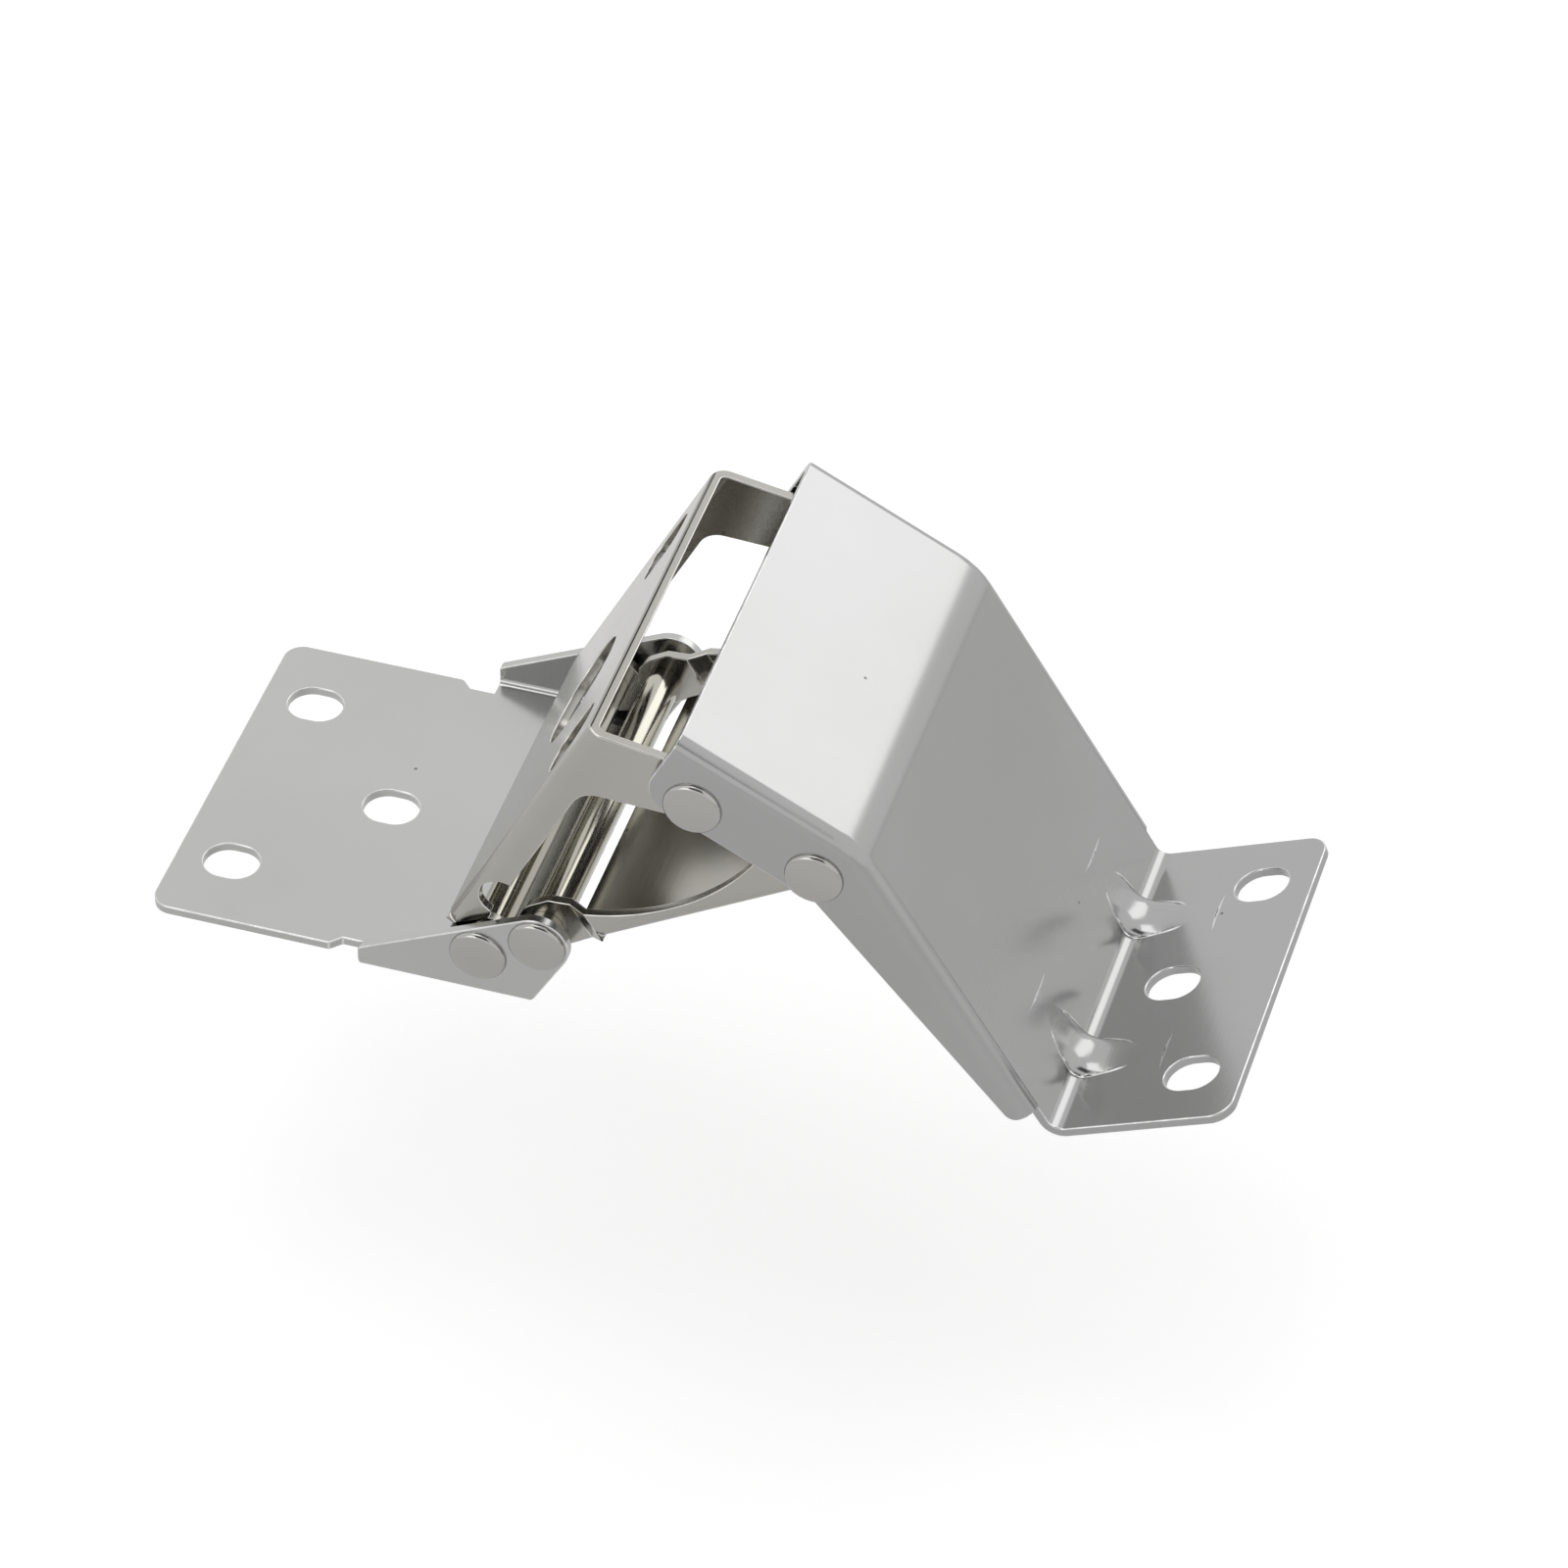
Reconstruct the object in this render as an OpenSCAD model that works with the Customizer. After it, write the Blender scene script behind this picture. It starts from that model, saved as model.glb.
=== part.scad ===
// Folding four-bar hinge of pressed stainless sheet.
// A mounting leaf carries two links, and the links carry a cranked leaf.
// All four are folded from one sheet thickness and riveted together.
// The origin is the middle of the mounting leaf's end slots, on its mounting face.
// X runs along the mounting leaf, Y along the pivots, Z away from the mounting face.

/* [Sheet] */
// Thickness of all the folded sheet
sheet = 1.5; // [1.2:0.1:1.8]
// Inside radius where a side is folded from a web
bend_in = 0.9; // [0.6:0.1:1.2]

/* [Mounting leaf] */
// Width of the flat plate, and of the toe of the cranked leaf
leaf_w = 60; // [56:1:64]
// Distance from the end slots to the end edge
end_margin = 8.5; // [7:0.5:12]
// Radius of the end corners
plate_corner = 3; // [1:0.5:5]
// Width of each screw slot
slot_w = 7; // [5:0.5:8]
// Length of each screw slot
slot_len = 8.5; // [8:0.5:10]
// Distance between the two end slots
end_slot_pitch = 36; // [30:1:40]
// Distance from the end slots to the middle slot
mid_slot_x = 18.6; // [14:0.2:20]
// Start of the cheeks, measured from the end slots
cheek_start = 25; // [24:0.5:28]
// End of the cheeks' foot, measured from the end slots
cheek_end = 51; // [50:0.1:54]
// Height of the cheeks at their start
cheek_nose = 4.3; // [3.5:0.1:6]
// Radius of the cheek round the front pivot
cheek_round = 4.8; // [4.5:0.1:6]
// Depth of the relief cut beside each cheek
relief_depth = 1.6; // [1:0.1:2.5]
// Length of the relief cut beside each cheek
relief_len = 5.4; // [4:0.1:6]

/* [Pivots] */
// Position of the rear pivot along the leaf
rear_x = 43.7; // [42:0.1:45]
// Height of the rear pivot above the mounting face
rear_z = 8.3; // [8:0.1:9]
// Distance from the rear pivot to the front pivot, along the leaf
front_dx = 9.05; // [8.6:0.05:9.6]
// Rise from the rear pivot to the front pivot
front_dz = 4.4; // [4:0.1:5]
// Diameter of the pins and rivets
pin_d = 4; // [3:0.1:4.4]
// Diameter of the domed heads
head_d = 8.7; // [7:0.1:9]
// Height of the domed heads
head_h = 1.1; // [0.8:0.1:1.6]
// Diameter of the heads inside the links
tail_d = 6.4; // [5.4:0.1:7]
// Height of the heads inside the links
tail_h = 0.8; // [0.5:0.1:1.2]
// Outer diameter of the sleeves on the two long pins
sleeve_d = 5.4; // [5:0.1:6]
// Outer diameter of the spacers on the front pin
spacer_d = 5.6; // [5.2:0.1:6]
// Outer diameter of the washers
washer_d = 8; // [7:0.1:9]
// Radial clearance of a hole that turns on a pin
run_clear = 0.06; // [0.03:0.01:0.1]
// Radial clearance of a hole that a pin is riveted in
rivet_clear = 0.02; // [0.01:0.01:0.04]
// Gap between faces that slide on each other
face_gap = 0.05; // [0.03:0.01:0.1]
// Gap between the two links' arms where they pass
pass_gap = 0.3; // [0.2:0.05:0.5]

/* [Window link] */
// Width over the arms of both links
link_w = 60; // [58:1:62]
// Angle of the window link's web above the mounting face, as folded in the photograph
web_angle = 62.5; // [58:0.5:66]
// Distance from the rear pivot to the web's outer face
web_offset = 6.6; // [6.2:0.1:6.8]
// Distance from the rear pivot to the upper pivot, along the web
reach = 48.6; // [46:0.1:51]
// Distance from the rear pivot's line to the upper pivot, away from the web
drop = 11.55; // [10:0.05:13]
// Start of the web past the rear pivot
web_foot = 0.5; // [0:0.1:1]
// Length of the web
web_len = 47.7; // [46:0.1:49]
// Width of the arm's leg beside the window, with the web's fold
leg_w = 4.7; // [4.2:0.1:5.5]
// Radius of the arm round the rear pivot
rear_eye = 5.4; // [5.2:0.1:6]
// Radius of the arm round the upper pivot
upper_eye = 5; // [4.6:0.1:5.4]
// Height of the window's upper edge above the rear pivot, along the web
window_top = 37.3; // [34:0.1:39]
// Radius of the window's upper corner
window_corner = 4; // [2:0.5:5]
// Angle between the spacer's pocket and the web
pocket_angle = 11; // [9:0.5:12]
// Clearance round the spacer in its pocket
pocket_clear = 0.45; // [0.3:0.05:0.6]
// Diameter of the round hole in the web
web_hole_d = 18; // [12:1:22]
// Distance from the rear pivot to the round hole, along the web
web_hole_at = 24.8; // [22:0.2:26]
// Length of the long holes in the web
web_slot_len = 13; // [10:0.5:14]
// Width of the long holes in the web
web_slot_w = 8; // [5:0.5:9]
// Distance from the rear pivot to the long holes, along the web
web_slot_at = 37.2; // [35:0.2:39]
// Distance between the two long holes
web_slot_pitch = 43; // [38:1:44]

/* [Curved link] */
// Distance between the curved link's pivots
curved_len = 48.36; // [47.5:0.02:49.5]
// Distance from the pivots' line to the web's outer face
curved_depth = 3.8; // [3.4:0.1:4.2]
// Start of the web, measured from the front pivot
curved_web_start = 8.5; // [8.5:0.1:10]
// End of the web, measured from the front pivot
curved_web_end = 42.9; // [41:0.1:43.5]
// Radius of the arm round the front pivot
front_eye = 4.2; // [3.6:0.1:4.4]
// Radius of the arm round the lower pivot
lower_eye = 4.4; // [4:0.1:4.8]
// Radius of the hollow edge
hollow_r = 38; // [30:1:50]
// Distance from the front pivot to the lowest place of the hollow edge
hollow_at = 22; // [20:0.5:26]
// Distance from the pivots' line down to the hollow edge
hollow_dip = 0.9; // [0.5:0.1:1.2]
// Start of the inward step of the arms, measured from the front pivot
step_start = 5.9; // [5.4:0.1:6]
// Length of the inward step
step_len = 2.4; // [2:0.1:2.5]

/* [Cranked leaf] */
// Distance between the upper pivot and the lower pivot
crank_span = 19.64; // [18.5:0.02:20.5]
// Distance from the upper pivot to the top web's outer face
crank_depth = 9.45; // [9:0.05:10.5]
// Rise of the lower pivot towards the web
crank_rise = 0.75; // [0:0.05:1.5]
// Distance from the upper pivot to the free edge of the top web
crank_edge = 7.2; // [6.5:0.1:8]
// Distance from the upper pivot to the side's lower edge
side_low = 3.5; // [3:0.1:4.5]
// Radius of the side's rear corner
side_corner = 4.4; // [2:0.1:5]
// Radius of the side round the lower pivot
side_boss = 4.9; // [4.5:0.1:5.5]
// Space between an arm and the side of the cranked leaf
side_space = 0.7; // [0.5:0.05:1]
// Space between an arm and the cheek of the mounting leaf
cheek_space = 1; // [0.7:0.05:1.4]
// Distance from the upper pivot to the bend, along the top web
bend_at = 21.9; // [20:0.1:24]
// Angle of the bend between the top web and the slope
bend_angle = 31.5; // [28:0.5:36]
// Outside radius of the bend
bend_r = 4.5; // [3.5:0.1:6]
// Length of the slope from the bend to the fold
slope_len = 56.7; // [54:0.1:60]
// Distance from the fold back to the end of the side
side_stop = 4.7; // [4.2:0.1:7.5]
// Depth of the side at its end
side_end = 4.05; // [3.6:0.05:5]
// Radius of the side's end corner
side_end_r = 2.8; // [1:0.1:3.5]
// Angle of the fold between the slope and the toe
fold_angle = 82.2; // [76:0.2:88]
// Inside radius of the fold
fold_r = 2; // [1.5:0.1:3]
// Length of the toe from the fold to its edge
toe_len = 27.4; // [26:0.1:30]
// Radius of the toe's corners
toe_corner = 3.3; // [1:0.1:5]
// Distance from the fold to the toe's outer slots
toe_slot_far = 19; // [18:0.2:20]
// Distance from the fold to the toe's middle slot
toe_slot_near = 10.3; // [9:0.1:11]
// Distance between the toe's outer slots
toe_slot_pitch = 40.6; // [36:0.2:42]
// Distance between the two pressed ribs
rib_pitch = 30; // [26:1:32]
// Half width of a rib
rib_r = 4; // [3:0.1:4.5]
// Reach of a rib up the slope and along the toe
rib_reach = 11.5; // [10:0.1:12.5]

/* [Hidden] */
$fn = 64;
nib = 0.01;
nib_turn = 2;
lap = 0.1;
tuck = 0.3;
small_r = 0.8;
far = 200;
fillet_step = 9;

// Fold, pin and hole radii
bend_out = sheet + bend_in;
pin_r = pin_d / 2;
run_r = pin_r + run_clear;
rivet_r = pin_r + rivet_clear;

// Widths, from the links outwards
arm_out = link_w / 2;
arm_in = arm_out - sheet;
cheek_in = arm_out + cheek_space;
cheek_out = cheek_in + sheet;
side_in = arm_out + side_space;
side_out = side_in + sheet;
inner_arm_out = arm_in - pass_gap;
inner_arm_in = inner_arm_out - sheet;

// Places of the four pivots in the plane across Y
function turned(p, a) = [p.x * cos(a) - p.y * sin(a), p.x * sin(a) + p.y * cos(a)];
function meeting(a, ra, b, rb) =
    let (d = norm(b - a), u = (b - a) / d, x = (d * d + ra * ra - rb * rb) / (2 * d))
    a + x * u + sqrt(ra * ra - x * x) * [u.y, -u.x];
rear = [rear_x, rear_z];
front = rear + [front_dx, front_dz];
upper_local = [reach, -drop];
upper = rear + turned(upper_local, web_angle);
lower = meeting(front, curved_len, upper, crank_span);
curved_angle = atan2(lower.y - front.y, lower.x - front.x);
crank_angle = atan2(lower.y - upper.y, lower.x - upper.x) - asin(crank_rise / crank_span);
lower_local = [sqrt(crank_span * crank_span - crank_rise * crank_rise), crank_rise];

// Points along the slope of the cranked leaf: s down the slope, d below its outer face
function slope_point(s, d) = [bend_at, crank_depth]
    + s * [cos(bend_angle), -sin(bend_angle)] - d * [sin(bend_angle), cos(bend_angle)];
bend_run = bend_r * tan(bend_angle / 2);
inner_run = bend_out * tan(bend_angle / 2);
function on_slope(p) = turned(p - [bend_at, crank_depth], bend_angle);
fold_point = slope_point(slope_len, 0);
side_len = slope_len - side_stop;
toe_angle = fold_angle - bend_angle;

// Ribs: each follows an arc that touches the slope and the toe
rib_half = 90 - fold_angle / 2;
rib_arc = rib_reach * tan(rib_half);
rib_centre = rib_reach / cos(rib_half);
rib_line = 90 + (toe_angle - bend_angle) / 2;

// A closed outline whose corners [x, y, r] are rounded by r
function fillet(p, q, s, r) =
    let (a = (p - q) / norm(p - q), b = (s - q) / norm(s - q),
        half = acos(a * b) / 2, c = q + (a + b) / norm(a + b) * r / sin(half),
        from = q + a * r / tan(half) - c, to = q + b * r / tan(half) - c,
        start = atan2(from.y, from.x), sweep = (atan2(to.y, to.x) - start + 540) % 360 - 180,
        steps = ceil(abs(sweep) / fillet_step))
    [for (i = [0 : steps]) c + r * [cos(start + sweep * i / steps), sin(start + sweep * i / steps)]];
function rounded(c) = [for (i = [0 : len(c) - 1])
    let (p = c[(i + len(c) - 1) % len(c)], q = c[i], s = c[(i + 1) % len(c)])
    each q[2] > 0 ? fillet([p.x, p.y], [q.x, q.y], [s.x, s.y], q[2]) : [[q.x, q.y]]];

// Placing in the plane across Y, and a solid of an outline of that plane
module at(p, a = 0) translate([p.x, 0, p.y]) rotate([0, -a, 0]) children();
module across(y0, y1) translate([0, y1, 0]) rotate([90, 0, 0]) linear_extrude(y1 - y0) children();
module along_x(x0, x1) translate([x0, 0, 0]) rotate([90, 0, 90]) linear_extrude(x1 - x0) children();
module sweep_y(from, to) rotate([0, -from, 0]) rotate([90, 0, 0]) rotate_extrude(angle = to - from)
    children();
module both_sides() {
    children();
    mirror([0, 1, 0]) children();
}

// A hole or a shaft along Y
module bar(p, r, y0, y1) at(p) translate([0, y1, 0]) rotate([90, 0, 0]) cylinder(r = r, h = y1 - y0);
module through(p, r) bar(p, r, -far, far);

// Cross-section of a web with its two folds; the outer face is the line y = 0
module fold_section(half_w, depth, inset = 0) difference() {
    fold_shape(half_w - inset, depth, inset, bend_out - inset);
    fold_shape(half_w - sheet + inset, depth, sheet - inset, bend_in + inset);
}
module fold_shape(half_w, depth, top, r) intersection() {
    translate([-half_w, -depth]) square([2 * half_w, depth - top]);
    union() {
        translate([-half_w, -depth - top - r]) square([2 * half_w, depth]);
        translate([r - half_w, -depth]) square([2 * (half_w - r), depth]);
        for (side = [-1, 1]) translate([side * (half_w - r), -top - r]) circle(r);
    }
}

// A screw slot cut down through a sheet whose face is z = 0
module slot(x, y, long, wide) for (end = [-1, 1]) {
    translate([x + end * (long - wide) / 2, y, -far / 2]) cylinder(d = wide, h = far);
    translate([x - (long - wide) / 2, y - wide / 2, -far / 2]) cube([long - wide, wide, far]);
}

// Mounting leaf: a slotted plate with a cheek folded up on each side
module mounting_leaf() color([0.80, 0.80, 0.79]) difference() {
    union() {
        linear_extrude(sheet) plate_outline();
        intersection() {
            along_x(cheek_start, front.x + far) mirror([0, 1]) fold_section(cheek_out, far);
            across(-cheek_out, cheek_out) cheek_outline();
        }
    }
    for (side = [-1, 1]) slot(0, side * end_slot_pitch / 2, slot_len, slot_w);
    slot(mid_slot_x, 0, slot_len, slot_w);
    through(rear, rivet_r);
    through(front, rivet_r);
}
module plate_outline() {
    edge = leaf_w / 2;
    relief_start = cheek_start - relief_len;
    polygon(rounded([[-end_margin, -edge, plate_corner], [relief_start, -edge, 0],
        [relief_start + relief_depth, relief_depth - edge, 0], [cheek_start + nib, relief_depth - edge, 0],
        [cheek_start + nib, edge - relief_depth, 0], [relief_start + relief_depth, edge - relief_depth, 0],
        [relief_start, edge, 0], [-end_margin, edge, plate_corner]]));
}
module cheek_outline() {
    nose = front - [cheek_start, cheek_nose];
    foot = front - [cheek_end, 0];
    rise = atan2(nose.y, nose.x) + asin(cheek_round / norm(nose));
    lean = atan2(foot.y, foot.x) - asin(cheek_round / norm(foot));
    top = front + cheek_round * [-sin(rise), cos(rise)];
    front_edge = front + cheek_round * [sin(lean), -cos(lean)];
    polygon(rounded([[cheek_start, 0, 0], [cheek_start, cheek_nose, small_r], [top.x, top.y, 0],
        [front.x, front.y, 0], [front_edge.x, front_edge.y, 0], [cheek_end, 0, small_r]]));
    at2(front) circle(cheek_round);
}
module at2(p) translate([p.x, p.y]) children();

// Window link: a pierced web between two arms, each with a window beside the web
module window_link() color([0.74, 0.74, 0.73]) at(rear, web_angle) difference() {
    union() {
        intersection() {
            translate([0, 0, web_offset]) along_x(web_foot, far) fold_section(arm_out, far);
            across(-arm_out, arm_out) window_outline();
        }
        intersection() {
            both_sides() across(arm_in, arm_out) window_outline();
            translate([-far, -far, -far]) cube([far + web_foot + nib, 2 * far, 2 * far]);
        }
    }
    slot(web_hole_at, 0, web_hole_d + nib, web_hole_d);
    for (side = [-1, 1]) slot(web_slot_at, side * web_slot_pitch / 2, web_slot_len, web_slot_w);
    through([0, 0], run_r);
    through(upper_local, run_r);
}
module window_outline() {
    web_top = [web_foot + web_len, web_offset];
    gap = upper_local - web_top;
    end_slope = atan2(gap.y, gap.x) + asin(upper_eye / norm(gap));
    end = upper_local + upper_eye * [-sin(end_slope), cos(end_slope)];
    leg = web_offset - leg_w;
    under = upper_local - (upper_eye - tuck) * [sin(web_angle), cos(web_angle)];
    pocket = norm([front_dx, front_dz]) * [cos(pocket_angle), sin(pocket_angle)];
    pocket_r = spacer_d / 2 + pocket_clear;
    difference() {
        union() {
            polygon(rounded([[web_foot, web_offset, 0], [web_top.x, web_top.y, small_r], [end.x, end.y, 0],
                [upper_local.x, upper_local.y, 0], [under.x, under.y, 0], [window_top, leg, window_corner],
                [rear_eye, leg, 0], [0, 0, 0]]));
            circle(rear_eye);
            at2(upper_local) circle(upper_eye);
        }
        at2(pocket) circle(pocket_r);
    }
}

// Curved link: a narrow trough with a hollow edge, its arms stepped inwards at the front pivot
module curved_link() color([0.72, 0.71, 0.68]) at(front, curved_angle) difference() {
    union() {
        intersection() {
            translate([0, 0, -curved_depth]) along_x(curved_web_start, curved_web_end)
                mirror([0, 1]) fold_section(arm_out, far);
            across(-arm_out, arm_out) curved_outline();
        }
        both_sides() intersection() {
            across(0, arm_out) curved_outline();
            translate([0, 0, -far]) linear_extrude(2 * far) arm_plan();
        }
    }
    through([0, 0], run_r);
    through([curved_len, 0], rivet_r);
}
module curved_outline() difference() {
    union() {
        polygon([[0, front_eye], [curved_len, lower_eye], [curved_len, -lower_eye],
            [curved_web_end, -curved_depth], [curved_web_start, -curved_depth], [0, -front_eye]]);
        circle(front_eye);
        at2([curved_len, 0]) circle(lower_eye);
    }
    at2([hollow_at, hollow_r - hollow_dip]) circle(hollow_r);
}
module arm_plan() {
    step_end = step_start + step_len;
    polygon([[-far, inner_arm_in], [step_start, inner_arm_in], [step_end, arm_in],
        [curved_web_start + nib, arm_in], [curved_web_start + nib, arm_out],
        [step_end, arm_out], [step_start, inner_arm_out], [-far, inner_arm_out]]);
    translate([curved_web_end - nib, arm_in]) square([far, sheet]);
}

// Cranked leaf: a channel bent down its length, folded up into a slotted toe with two ribs
module cranked_leaf() color([0.86, 0.86, 0.86]) at(upper, crank_angle) difference() {
    union() {
        crank_top();
        at([bend_at - bend_run, crank_depth - bend_r]) sweep_y(90 - bend_angle - nib_turn, 90 + nib_turn)
            translate([bend_r, 0]) rotate(-90) fold_section(side_out, bend_out + lap, nib);
        at([bend_at, crank_depth], -bend_angle) crank_slope();
        for (side = [-1, 1]) rib(side * rib_pitch / 2);
    }
    for (side = [-1, 1]) rib_hollow(side * rib_pitch / 2);
    at(fold_point, toe_angle) {
        for (side = [-1, 1]) slot(toe_slot_far, side * toe_slot_pitch / 2, slot_len, slot_w);
        slot(toe_slot_near, 0, slot_len, slot_w);
    }
    through([0, 0], rivet_r);
    through(lower_local, rivet_r);
}
// Its part over the pivots
module crank_top() {
    translate([0, 0, crank_depth]) along_x(-crank_edge, bend_at - bend_run)
        fold_section(side_out, bend_out + lap);
    both_sides() across(side_in, side_out) {
        polygon(rounded([[-crank_edge, crank_depth - bend_out, 0],
            [bend_at - inner_run - lap, crank_depth - bend_out, 0],
            [bend_at + side_low, side_low, 0], [bend_at + side_low, -side_low, 0],
            [-crank_edge, -side_low, side_corner]]));
        at2(lower_local) circle(side_boss);
    }
}
// Its part along the slope, with the toe; the origin is the bend's corner
module crank_slope() {
    knee = on_slope([bend_at, -side_low]);
    clear = on_slope(lower_local + [side_low, 0]);
    tip = [side_len, -side_end];
    beyond = knee + (knee - tip) / norm(knee - tip);
    along_x(bend_run, side_len) fold_section(side_out, bend_out + lap);
    both_sides() across(side_in, side_out) polygon(rounded([[inner_run + lap, -bend_out, 0],
        [side_len, -bend_out, 0], [tip.x, tip.y, min(side_end_r, side_end - bend_out)],
        [beyond.x, beyond.y, 0], [clear.x, clear.y, 0]]));
    intersection() {
        across(-leaf_w / 2, leaf_w / 2) toe_profile();
        at([slope_len, 0], fold_angle) translate([0, 0, -far]) linear_extrude(2 * far) toe_plan();
    }
}
module toe_profile() {
    edge = [slope_len, 0] + turned([toe_len, 0], fold_angle);
    under = edge + turned([0, -sheet], fold_angle);
    polygon(rounded([[side_len, 0, 0], [slope_len, 0, fold_r], [edge.x, edge.y, 0], [under.x, under.y, 0],
        [slope_len + sheet * tan(fold_angle / 2), -sheet, fold_r + sheet], [side_len, -sheet, 0]]));
}
module toe_plan() {
    half = leaf_w / 2;
    polygon(rounded([[-far, -half, 0], [toe_len, -half, toe_corner],
        [toe_len, half, toe_corner], [-far, half, 0]]));
}
module rib_ring(y, r) translate([0, y, 0]) at(fold_point) at(rib_centre * [cos(rib_line), sin(rib_line)])
    sweep_y(rib_line + 180 - rib_half, rib_line + 180 + rib_half) translate([rib_arc + rib_r, 0]) circle(r);
module rib(y) intersection() {
    rib_ring(y, rib_r);
    across(-far, far) polygon([slope_point(slope_len, sheet / 2), slope_point(0, sheet / 2),
        slope_point(0, -far), fold_point + turned([far, 0], toe_angle),
        fold_point + turned([far, -sheet / 2], toe_angle)]);
}
module rib_hollow(y) rib_ring(y, rib_r - sheet);

// Pins, rivets and what sits on them; the domed heads stand on the plane z = 0
module dome(d, h) {
    ball = (d * d / 4 + h * h) / (2 * h);
    rotate_extrude() intersection() {
        translate([0, h - ball]) circle(ball, $fn = 180);
        square([d / 2, h]);
    }
}
module head_at(p, y, d, h, side) at(p) translate([0, side * y, 0]) rotate([-90 * side, 0, 0]) dome(d, h);
module long_pin(p) color([0.78, 0.77, 0.74]) {
    bar(p, pin_r, -cheek_out, cheek_out);
    for (side = [-1, 1]) head_at(p, cheek_out, head_d, head_h, side);
}
module ring(p, r, y0, y1) difference() {
    bar(p, r, y0, y1);
    through(p, run_r);
}
module on_side(side) mirror([0, side > 0 ? 0 : 1, 0]) children();
module sleeve(p, half) color([0.82, 0.81, 0.78]) ring(p, sleeve_d / 2, face_gap - half, half - face_gap);
module spacer(side) color([0.70, 0.69, 0.66]) on_side(side)
    ring(front, spacer_d / 2, inner_arm_out + face_gap, cheek_in - face_gap);
module washer(p, outer, side) color([0.66, 0.65, 0.62]) on_side(side)
    ring(p, washer_d / 2, arm_out + face_gap, outer - face_gap);

// Upper rivet: it holds the cranked leaf and turns in the window link's arm
module upper_rivet(side) color([0.78, 0.77, 0.74]) on_side(side) {
    bar(upper, pin_r, arm_in - face_gap, side_out);
    head_at(upper, side_out, head_d, head_h, 1);
    at(upper) translate([0, arm_in - face_gap, 0]) rotate([90, 0, 0]) dome(tail_d, tail_h);
}
// Lower rivet: its outer half stays in the cranked leaf, its inner half in the curved link
module lower_rivet(side) color([0.78, 0.77, 0.74]) on_side(side) {
    bar(lower, pin_r, arm_out + face_gap, side_out);
    head_at(lower, side_out, head_d, head_h, 1);
}
module lower_tail(side) color([0.70, 0.69, 0.66]) on_side(side) {
    bar(lower, pin_r, arm_in, arm_out);
    at(lower) translate([0, arm_in, 0]) rotate([90, 0, 0]) dome(tail_d, tail_h);
}

mounting_leaf();
cranked_leaf();
window_link();
curved_link();
long_pin(rear);  // rear_pin
long_pin(front);  // front_pin
sleeve(rear, arm_in);  // rear_sleeve
sleeve(front, inner_arm_in);  // front_sleeve
spacer(1);  // front_spacer_left
spacer(-1);  // front_spacer_right
washer(rear, cheek_in, 1);  // rear_washer_left
washer(rear, cheek_in, -1);  // rear_washer_right
upper_rivet(1);  // upper_rivet_left
upper_rivet(-1);  // upper_rivet_right
washer(upper, side_in, 1);  // upper_washer_left
washer(upper, side_in, -1);  // upper_washer_right
lower_rivet(1);  // lower_rivet_left
lower_rivet(-1);  // lower_rivet_right
washer(lower, side_in, 1);  // lower_washer_left
washer(lower, side_in, -1);  // lower_washer_right
lower_tail(1);  // lower_tail_left
lower_tail(-1);  // lower_tail_right
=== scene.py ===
"""Looks of a folding four-bar hinge of pressed and polished steel sheet.

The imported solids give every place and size. Each folded sheet is dressed again with
rounded cut edges, the pins and rivets are turned by Geometry Nodes, and every piece
gets a procedural metal finish. All sizes are in metres, and MM is one millimetre.
"""

import logging
import math
from dataclasses import dataclass, field
from enum import Enum

import bmesh
import bpy
from mathutils import Matrix, Vector
from mathutils.bvhtree import BVHTree


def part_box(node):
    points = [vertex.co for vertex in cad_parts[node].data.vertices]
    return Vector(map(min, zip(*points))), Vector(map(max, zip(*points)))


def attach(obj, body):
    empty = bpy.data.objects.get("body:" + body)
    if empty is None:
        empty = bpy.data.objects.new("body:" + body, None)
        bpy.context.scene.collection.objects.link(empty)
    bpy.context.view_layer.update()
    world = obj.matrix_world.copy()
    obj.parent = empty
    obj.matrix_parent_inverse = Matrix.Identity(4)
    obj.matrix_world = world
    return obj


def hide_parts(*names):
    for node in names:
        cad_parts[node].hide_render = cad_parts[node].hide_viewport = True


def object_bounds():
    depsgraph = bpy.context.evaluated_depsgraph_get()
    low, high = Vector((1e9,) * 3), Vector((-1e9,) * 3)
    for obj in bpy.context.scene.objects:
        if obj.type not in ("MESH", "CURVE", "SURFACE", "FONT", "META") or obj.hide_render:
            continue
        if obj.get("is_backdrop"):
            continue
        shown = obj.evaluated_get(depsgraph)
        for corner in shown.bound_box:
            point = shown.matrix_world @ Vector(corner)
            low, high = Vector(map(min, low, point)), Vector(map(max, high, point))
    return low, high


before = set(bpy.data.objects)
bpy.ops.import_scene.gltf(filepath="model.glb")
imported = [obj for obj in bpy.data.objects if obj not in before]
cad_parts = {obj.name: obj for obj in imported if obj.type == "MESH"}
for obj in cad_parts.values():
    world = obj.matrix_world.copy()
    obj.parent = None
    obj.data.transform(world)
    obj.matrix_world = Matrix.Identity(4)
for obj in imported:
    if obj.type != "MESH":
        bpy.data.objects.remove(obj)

LOG = logging.getLogger("hinge")
MM = 0.001
MERGE = 0.001 * MM  # points of a turned part closer than this are one


class Body(Enum):
    """The moving bodies of the hinge."""

    MOUNTING = "mounting"
    WINDOW = "window"
    CURVED = "curved"
    CRANKED = "cranked"


class Slot(Enum):
    """The material slots of the hinge's record."""

    PLATE = "plate_steel"
    BRIGHT = "bright_steel"
    LINK = "link_steel"
    RIVET = "rivet_steel"
    SLEEVE = "sleeve_steel"
    WASHER = "washer_steel"


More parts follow.
